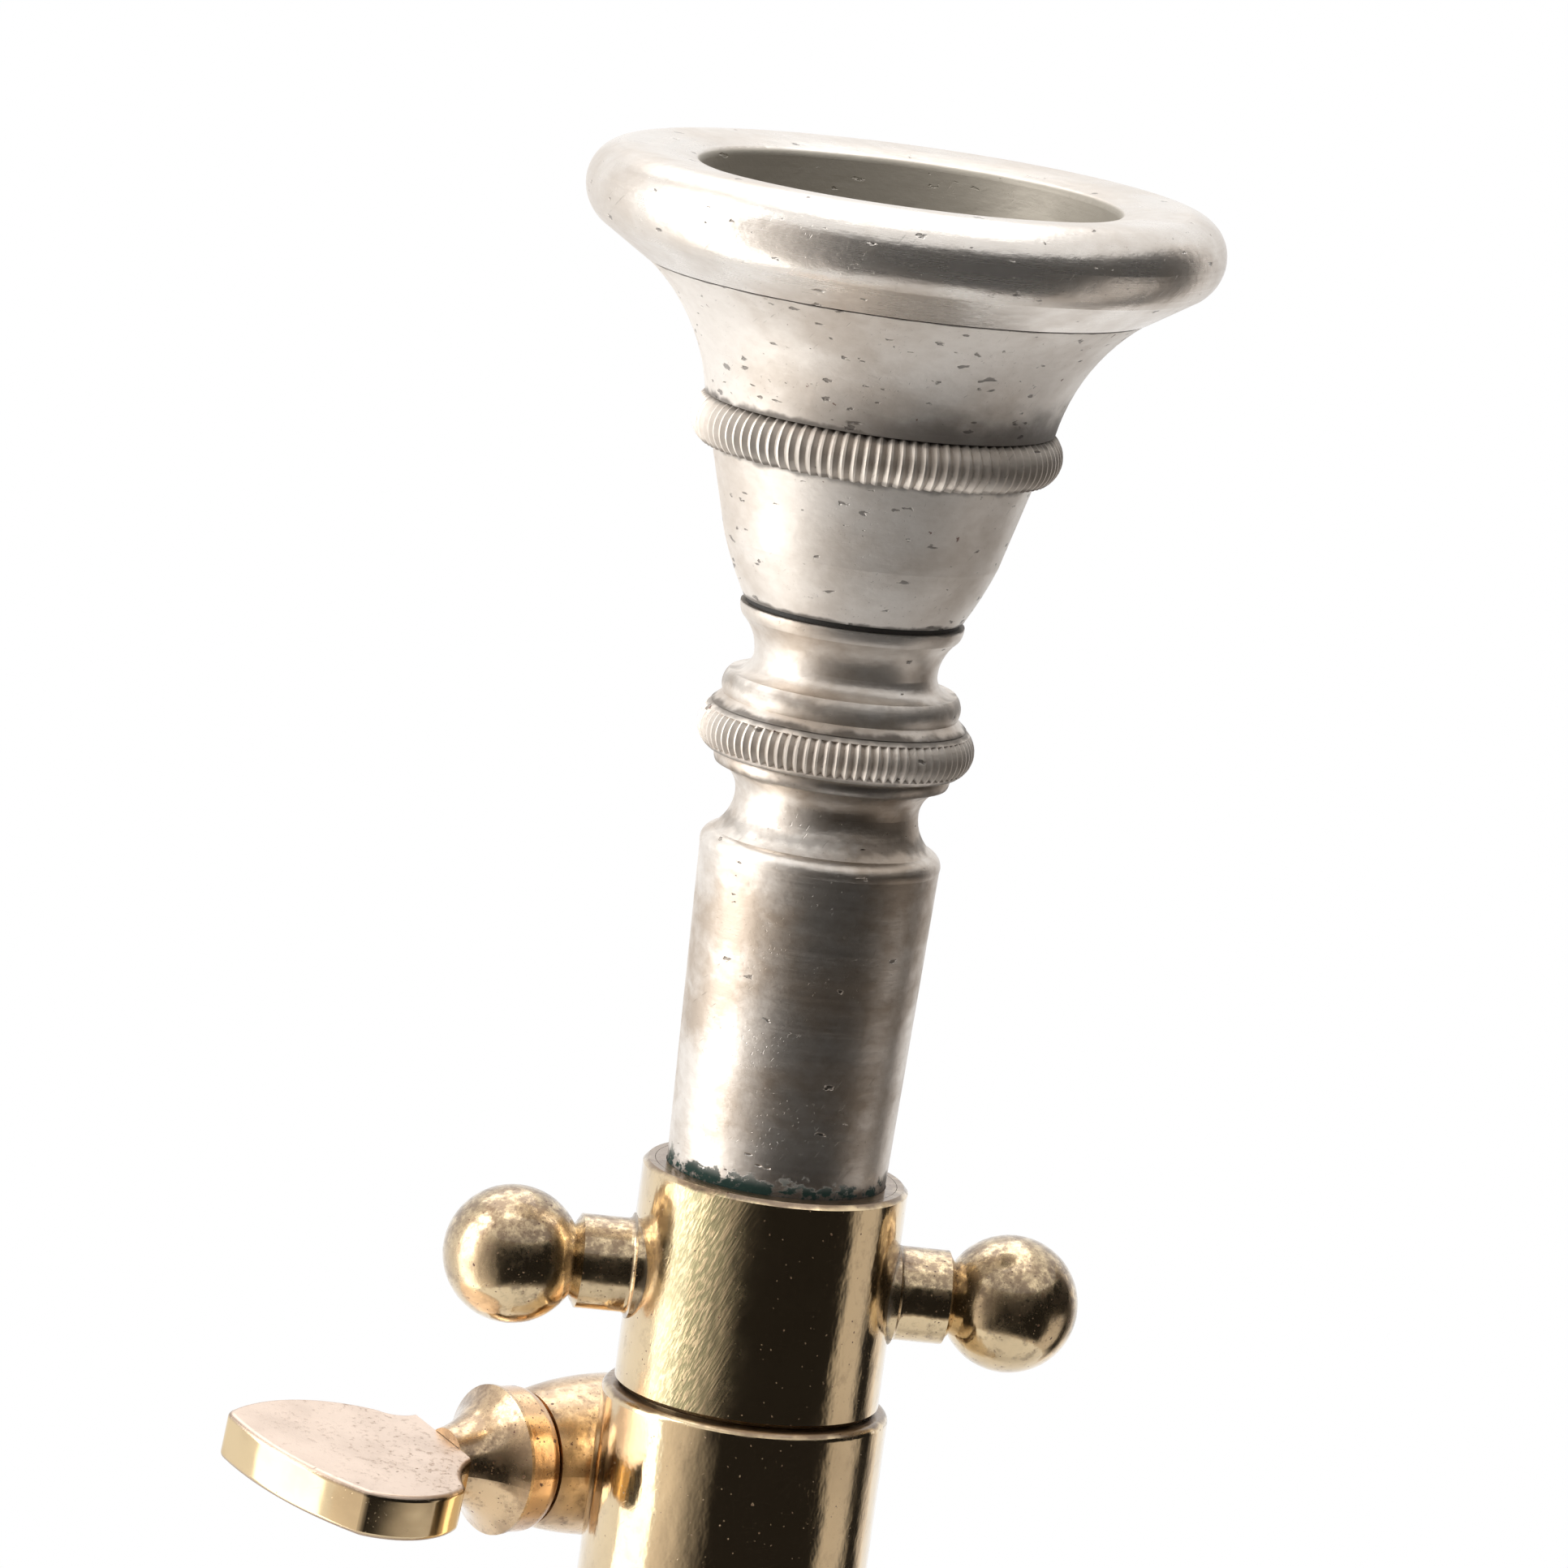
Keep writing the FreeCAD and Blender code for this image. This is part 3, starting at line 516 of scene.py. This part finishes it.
def satin_wing(name, finish, middle, normal, half_thickness):
    """Thumb plate: its flat faces rubbed satin with brown specks, its edge polished."""
    shader = Shader(name)
    away = shader.vector("DOT_PRODUCT", shader.vector("SUBTRACT", shader.place, middle), normal)
    depth = shader.math("ABSOLUTE", away)
    face = shader.between(depth, half_thickness - 0.25, half_thickness - 0.05)
    cloud = shader.noise((0.3,) * 3, 5.0)
    reach = shader.vector("DISTANCE", shader.place, middle)
    near_bell = shader.product(face, shader.between(reach, 22.0, 12.0))
    pepper = shader.between(shader.noise((2.8,) * 3, 5.0, roughness=0.75), 0.52, 0.64)
    dust = shader.product(pepper, near_bell, shader.between(cloud, 0.3, 0.55), 0.7)
    marks = shader.largest(dust, shader.spots((2.6,) * 3, 0.07, 0.25, 5.0))
    fine = shader.noise((9.0,) * 3, 3.0)
    swell = shader.noise((0.28,) * 3, 2.0)
    hair = shader.scratches((0.12, 12.0, 12.0), (10, 15, 40), 0.0)
    edge = shader.product(face, shader.between(depth, half_thickness, half_thickness - 0.1))

    colour = shader.mix(face, finish.gilt, finish.satin)
    colour = shader.mix(shader.product(shader.between(cloud, 0.42, 0.75), 0.2), colour, finish.tarnish)
    colour = shader.mix(shader.product(shader.largest(marks, hair, edge), 0.6), colour, finish.tarnish)
    rough = shader.total(
        finish.roughness,
        shader.product(face, 0.26),
        shader.product(marks, 0.2),
        shader.product(hair, 0.1),
    )
    height = shader.total(
        shader.product(swell, 0.04),
        shader.product(fine, face, 0.004),
        shader.product(hair, -0.008),
        shader.product(marks, -0.012),
    )
    return shader.finish(colour, rough, height)


def dark_packing(name, finish):
    """Greasy packing, nearly black."""
    shader = Shader(name)
    shader.surface.inputs["Metallic"].default_value = 0.0
    grain = shader.noise((6.0,) * 3, 4.0)
    colour = shader.mix(grain, finish.packing, [channel * 2.2 for channel in finish.packing])
    rough = shader.math("MULTIPLY_ADD", grain, 0.3, 0.45)
    return shader.finish(colour, rough, shader.product(grain, 0.02))


class MOUTHPIECE_OT_finish_shank(bpy.types.Operator):
    """Worn silver on the shank, with green crust where it enters the mouthpipe"""

    bl_idname = "mouthpiece.finish_shank"
    bl_label = "Finish Shank"

    def execute(self, context):
        finish = context.scene.mouthpiece_silver
        foot = top_mm("mouthpiece_shank")
        mouth = top_mm("mouthpipe_collar")
        levels = ((foot - 0.6, 0.3, 0.5), (foot - 3.0, 0.4, 0.4), (mouth, 0.7, 0.7))
        material = worn_silver(
            "shank_silver", finish, levels, dents=0.07, film=0.95, polish=-0.04, crust_level=mouth
        )
        dress(material, "mouthpiece_shank")
        return {"FINISHED"}


class MOUTHPIECE_OT_finish_stem(bpy.types.Operator):
    """Worn silver on the stem and its milled ring, and the packing in the joint"""

    bl_idname = "mouthpiece.finish_stem"
    bl_label = "Finish Stem"

    def execute(self, context):
        finish = context.scene.mouthpiece_silver
        low = base_mm("stem_milled_ring")
        high = top_mm("stem_milled_ring")
        lip = base_mm("joint_washer")
        levels = ((low, 0.3, 0.7), (high, 0.3, 0.7), (high + 1.1, 0.4, 0.4), (lip, 0.12, 0.6))
        material = worn_silver(
            "stem_silver", finish, levels, dents=0.08, film=0.75, polish=-0.04, bare=0.85
        )
        dress(material, "mouthpiece_stem")
        ring_levels = ((low, 0.25, 0.5), (high, 0.25, 0.5))
        ring = worn_silver(
            "stem_ring_silver", finish, ring_levels, dents=0.05, film=0.4, polish=-0.2
        )
        dress(ring, "stem_milled_ring")
        dress(dark_packing("joint_packing", context.scene.mouthpiece_brass), "joint_washer")
        return {"FINISHED"}


class MOUTHPIECE_OT_finish_cup(bpy.types.Operator):
    """Worn silver on the cup, its milled ring and the rim"""

    bl_idname = "mouthpiece.finish_cup"
    bl_label = "Finish Cup"

    def execute(self, context):
        finish = context.scene.mouthpiece_silver
        low = base_mm("cup_milled_ring")
        high = top_mm("cup_milled_ring")
        foot = base_mm("mouthpiece_cup")
        seam = top_mm("mouthpiece_cup")
        levels = ((low, 0.3, 0.55), (high, 0.35, 0.7), (foot, 0.2, 0.7), (seam, 0.06, 0.7))
        # shadow paints shade just above the milled ring, to the right of the camera's side.
        material = worn_silver(
            "cup_silver", finish, levels, dents=0.45, film=0.5, polish=-0.12, bare=0.6, shadow=high
        )
        dress(material, "mouthpiece_cup")
        ring_levels = ((low, 0.2, 0.4), (high, 0.25, 0.5))
        ring = worn_silver(
            "cup_ring_silver", finish, ring_levels, dents=0.05, film=0.4, polish=-0.2
        )
        dress(ring, "cup_milled_ring")
        rim = worn_silver(
            "rim_silver", finish, ((seam, 0.06, 0.6),), dents=0.18, film=0.45, polish=0.08, bare=0.85
        )
        dress(rim, "mouthpiece_rim")
        return {"FINISHED"}


class MOUTHPIECE_OT_finish_mouthpipe(bpy.types.Operator):
    """Polished brass on the mouthpipe, its collar and the pull knobs"""

    bl_idname = "mouthpiece.finish_mouthpipe"
    bl_label = "Finish Mouthpipe"

    def execute(self, context):
        finish = context.scene.mouthpiece_brass
        low = base_mm("mouthpipe_collar")
        high = top_mm("mouthpipe_collar")
        levels = ((low, 0.2, 0.8), (high, 0.25, 0.8))
        collar = polished_brass(
            "collar_brass", finish, finish.gilt, 0.06, 0.35, levels, extra=brushed_patch
        )
        dress(collar, "mouthpipe_collar")
        tube = polished_brass("slide_brass", finish, finish.gilt, 0.08, 0.5, ((high, 0.25, 0.8),))
        dress(tube, "mouthpipe_tube")
        knobs = polished_brass(
            "knob_brass", finish, finish.gilt, 0.2, 0.8, dull=0.02, bloom=0.95, extra=soldered_root
        )
        dress(knobs, "pull_knob_left", "pull_knob_right")
        return {"FINISHED"}


class MOUTHPIECE_OT_finish_receiver(bpy.types.Operator):
    """Polished brass on the receiver, and tarnished brass on the lugs of its clamp"""

    bl_idname = "mouthpiece.finish_receiver"
    bl_label = "Finish Receiver"

    def execute(self, context):
        finish = context.scene.mouthpiece_brass
        levels = ((top_mm("receiver_sleeve"), 0.25, 0.8), (top_mm("socket_ferrule"), 0.25, 0.7))
        receiver = polished_brass("receiver_brass", finish, finish.gilt, 0.06, 0.25, levels)
        dress(receiver, "receiver_sleeve", "socket_ferrule")
        lugs = polished_brass("lug_brass", finish, finish.copper_gilt, 0.4, 0.9, dull=0.16, bloom=0.5)
        dress(lugs, "screw_lug", "nut_lug")
        return {"FINISHED"}


class MOUTHPIECE_OT_finish_thumbscrew(bpy.types.Operator):
    """Brass on the thumbscrew: speckled collar, dull bell and a satin wing"""

    bl_idname = "mouthpiece.finish_thumbscrew"
    bl_label = "Finish Thumbscrew"

    def execute(self, context):
        finish = context.scene.mouthpiece_brass
        thrust = polished_brass("thrust_brass", finish, finish.orange, 0.7, 0.5, dull=0.12)
        dress(thrust, "thrust_collar", "screw_spindle")
        bell = polished_brass("bell_brass", finish, finish.copper_gilt, 0.3, 0.9, dull=0.05, bloom=0.8)
        dress(bell, "thumbscrew_bell")
        turn = next(joint for joint in frame["joints"] if joint["name"] == "clamp_turn")
        outward = Vector(turn["axis"])
        toward_camera = Vector((0, 0, 1)).cross(outward)
        roll = math.radians(WING_ROLL)
        normal = Vector((0, 0, math.cos(roll))) + toward_camera * math.sin(roll)
        middle = Vector(turn["pos_m"]) * MM
        dress(satin_wing("wing_brass", finish, middle, normal, WING_HALF_THICKNESS), "thumbscrew_wing")
        return {"FINISHED"}


class MOUTHPIECE_OT_set_stage(bpy.types.Operator):
    """Pale floor, soft lights, cards that only reflections show, and the camera"""

    bl_idname = "mouthpiece.set_stage"
    bl_label = "Set Stage"

    def execute(self, context):
        studio = context.scene.mouthpiece_studio
        lay_floor()
        hang_dark_card()
        lay_white_card()
        light_world(context.scene, studio.ambient)
        hang_light("left_softbox", SOFTBOX_PLACE, SOFTBOX_SIZE, studio.softbox)
        hang_light("overhead_softbox", OVERHEAD_PLACE, OVERHEAD_SIZE, studio.overhead)
        set_camera(context.scene, studio)
        context.scene.view_settings.view_transform = "Standard"
        return {"FINISHED"}


def shown_rays(tree):
    """One for the rays that show a surface as it is: the camera's, and those mirrored or let through."""
    path = tree.nodes.new("ShaderNodeLightPath")
    result = path.outputs["Is Camera Ray"]
    for ray in ("Is Glossy Ray", "Is Transmission Ray"):
        node = tree.nodes.new("ShaderNodeMath")
        node.operation = "MAXIMUM"
        tree.links.new(result, node.inputs[0])
        tree.links.new(path.outputs[ray], node.inputs[1])
        result = node.outputs[0]
    return result


def lay_floor():
    """A pale floor at the receiver's foot that is plain white away from the object."""
    bpy.ops.object.select_all(action="DESELECT")
    bpy.ops.mesh.primitive_circle_add(
        vertices=96, radius=FLOOR_RADIUS, fill_type="NGON", location=(0, 0, FLOOR_LEVEL)
    )
    floor = bpy.context.object
    floor.name = "floor"
    bpy.ops.object.transform_apply()
    shader = Shader("floor_white")
    shader.surface.inputs["Metallic"].default_value = 0.0
    shader.surface.inputs["Base Color"].default_value = FLOOR_GREY
    shader.surface.inputs["Roughness"].default_value = 0.9
    shader.surface.inputs["Specular IOR Level"].default_value = 0.0
    away = shader.vector("LENGTH", shader.place)
    glow = shader.add("ShaderNodeEmission", {"Color": WHITE, "Strength": 1.0})
    share = shader.product(shader.between(away, *FLOOR_FADE), shown_rays(shader.tree))
    mixed = shader.add("ShaderNodeMixShader", {0: share, 1: shader.surface.outputs[0], 2: glow})
    shader.join(mixed, shader.tree.nodes["Material Output"].inputs["Surface"])
    floor.data.materials.append(shader.material)


def hang_dark_card():
    """A dark cloth on the floor before the object and up behind the camera, which only reflections show."""
    card = lay_sector("dark_card", DARK_SECTOR, CARD_RADIUS, CARD_LEVEL)
    select_points(card, lambda point: point.length > CARD_RADIUS * 0.9)
    bpy.ops.mesh.extrude_region_move(TRANSFORM_OT_translate={"value": (0, 0, CARD_HEIGHT)})
    bpy.ops.object.mode_set(mode="OBJECT")
    shader = Shader("dark_room")
    away = shader.vector("LENGTH", shader.place)
    side = shader.azimuth()
    strip = shader.product(
        shader.between(side, *STRIP_LEFT_FADE),
        shader.between(side, *STRIP_RIGHT_FADE),
        shader.between(away, *STRIP_FAR_FADE),
        STRIP_GLOW,
    )
    shade = shader.largest(
        shader.between(away, *FOOT_FADE),
        shader.between(side, *LEFT_FADE),
        shader.between(side, *RIGHT_FADE),
        strip,
        DARK_GLOW,
    )
    glow = shader.add("ShaderNodeEmission", {"Color": DARK_TINT, "Strength": shade})
    show_in_mirrors(card, shader, glow)


def lay_white_card():
    """A bright card on the floor to the left, which only reflections show."""
    card = lay_sector("white_card", WHITE_SECTOR, WHITE_RADIUS, WHITE_LEVEL)
    bpy.ops.object.mode_set(mode="OBJECT")
    shader = Shader("white_card_glow")
    glow = shader.add("ShaderNodeEmission", {"Color": WHITE_TINT, "Strength": WHITE_GLOW})
    show_in_mirrors(card, shader, glow)


def lay_sector(name, sector, radius, level):
    """A flat card round the object between two angles from the camera's side, left in edit mode."""
    bpy.ops.object.select_all(action="DESELECT")
    bpy.ops.mesh.primitive_circle_add(vertices=180, radius=radius, location=(0, 0, level))
    card = bpy.context.object
    card.name = name
    bpy.ops.object.transform_apply()
    left, right = sector
    select_points(card, lambda point: not left < math.degrees(math.atan2(point.x, -point.y)) < right)
    bpy.ops.mesh.delete(type="VERT")
    select_points(card, lambda point: True)
    bpy.ops.mesh.extrude_region_move()
    inward = CARD_NEAR_EDGE / radius
    bpy.ops.transform.resize(value=(inward, inward, 1), center_override=(0, 0, level))
    return card


def show_in_mirrors(card, shader, glow):
    """Let a card glow in reflections only."""
    shader.join(glow, shader.tree.nodes["Material Output"].inputs["Surface"])
    card.data.materials.append(shader.material)
    card.visible_camera = False
    card.visible_diffuse = False
    card.visible_shadow = False


def select_points(piece, wanted):
    """Select the points of a mesh that pass a test, and leave it in edit mode."""
    if piece.mode == "EDIT":
        bpy.ops.object.mode_set(mode="OBJECT")
    bpy.ops.object.mode_set(mode="EDIT")
    bpy.ops.mesh.select_mode(type="VERT")
    bpy.ops.mesh.select_all(action="DESELECT")
    bpy.ops.object.mode_set(mode="OBJECT")
    for vertex in piece.data.vertices:
        vertex.select = wanted(vertex.co)
    bpy.ops.object.mode_set(mode="EDIT")


def light_world(scene, ambient):
    """White surroundings, which light matt surfaces more gently than they show."""
    world = bpy.data.worlds.new("white_room")
    world.use_nodes = True
    tree = world.node_tree
    background = tree.nodes["Background"]
    background.inputs["Color"].default_value = WHITE
    level = tree.nodes.new("ShaderNodeMapRange")
    level.inputs["To Min"].default_value = ambient
    tree.links.new(shown_rays(tree), level.inputs["Value"])
    tree.links.new(level.outputs[0], background.inputs["Strength"])
    scene.world = world


def hang_light(name, place, size, brightness):
    """A soft rectangular light that faces the middle of the object."""
    bpy.ops.object.light_add(type="AREA", location=place)
    lamp = bpy.context.object
    lamp.name = name
    lamp.data.shape = "RECTANGLE"
    lamp.data.size, lamp.data.size_y = size
    lamp.data.energy = brightness * math.pi * size[0] * size[1]
    aim = (CAD_BOX[0] + CAD_BOX[1]) / 2 - lamp.location
    lamp.rotation_euler = aim.to_track_quat("-Z", "Y").to_euler()
    lamp.visible_camera = False


def set_camera(scene, studio):
    """Camera above and before the object, turned so that the object leans to the right."""
    target = Vector((0, 0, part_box("mouthpipe_collar")[1].z + AIM_ABOVE_COLLAR))
    forward = Vector((0, math.cos(studio.elevation), -math.sin(studio.elevation)))
    level_up = Vector((0, math.sin(studio.elevation), math.cos(studio.elevation)))
    level_right = Vector((1, 0, 0))
    right = level_right * math.cos(studio.lean) + level_up * math.sin(studio.lean)
    up = level_up * math.cos(studio.lean) - level_right * math.sin(studio.lean)
    place = target - forward * studio.distance
    bpy.ops.object.camera_add()
    camera = bpy.context.object
    axes = Matrix((right, up, -forward)).transposed()
    camera.matrix_world = Matrix.Translation(place) @ axes.to_4x4()
    camera.data.sensor_width = SENSOR_WIDTH
    camera.data.lens = studio.focal_pixels / PHOTO_PIXELS * SENSOR_WIDTH
    camera.data.shift_x = -studio.shift_right / PHOTO_PIXELS
    camera.data.shift_y = studio.shift_down / PHOTO_PIXELS
    camera.data.clip_start = NEAR_CLIP
    scene.camera = camera


class MOUTHPIECE_PT_pieces(bpy.types.Panel):
    """Lists the pieces, the finishes and the stage"""

    bl_label = "Mouthpiece"
    bl_idname = "MOUTHPIECE_PT_pieces"
    bl_space_type = "VIEW_3D"
    bl_region_type = "UI"
    bl_category = "Mouthpiece"

    def draw(self, context):
        for operator in OPERATORS:
            self.layout.operator(operator.bl_idname)
        scene = context.scene
        for group in (scene.mouthpiece_silver, scene.mouthpiece_brass, scene.mouthpiece_studio):
            box = self.layout.box()
            for name in group.__annotations__:
                box.prop(group, name)


OPERATORS = (
    MOUTHPIECE_OT_finish_shank,
    MOUTHPIECE_OT_finish_stem,
    MOUTHPIECE_OT_finish_cup,
    MOUTHPIECE_OT_finish_mouthpipe,
    MOUTHPIECE_OT_finish_receiver,
    MOUTHPIECE_OT_finish_thumbscrew,
    MOUTHPIECE_OT_set_stage,
)
CLASSES = (SilverFinish, BrassFinish, StudioSettings, *OPERATORS, MOUTHPIECE_PT_pieces)


def register():
    for item in CLASSES:
        bpy.utils.register_class(item)
    bpy.types.Scene.mouthpiece_silver = PointerProperty(type=SilverFinish)
    bpy.types.Scene.mouthpiece_brass = PointerProperty(type=BrassFinish)
    bpy.types.Scene.mouthpiece_studio = PointerProperty(type=StudioSettings)


def unregister():
    del bpy.types.Scene.mouthpiece_studio
    del bpy.types.Scene.mouthpiece_brass
    del bpy.types.Scene.mouthpiece_silver
    for item in reversed(CLASSES):
        bpy.utils.unregister_class(item)


def main():
    """Build the finished object on its stage."""
    register()
    bpy.ops.mouthpiece.finish_shank()
    bpy.ops.mouthpiece.finish_stem()
    bpy.ops.mouthpiece.finish_cup()
    bpy.ops.mouthpiece.finish_mouthpipe()
    bpy.ops.mouthpiece.finish_receiver()
    bpy.ops.mouthpiece.finish_thumbscrew()
    bpy.ops.mouthpiece.set_stage()


if __name__ == "__main__":
    main()
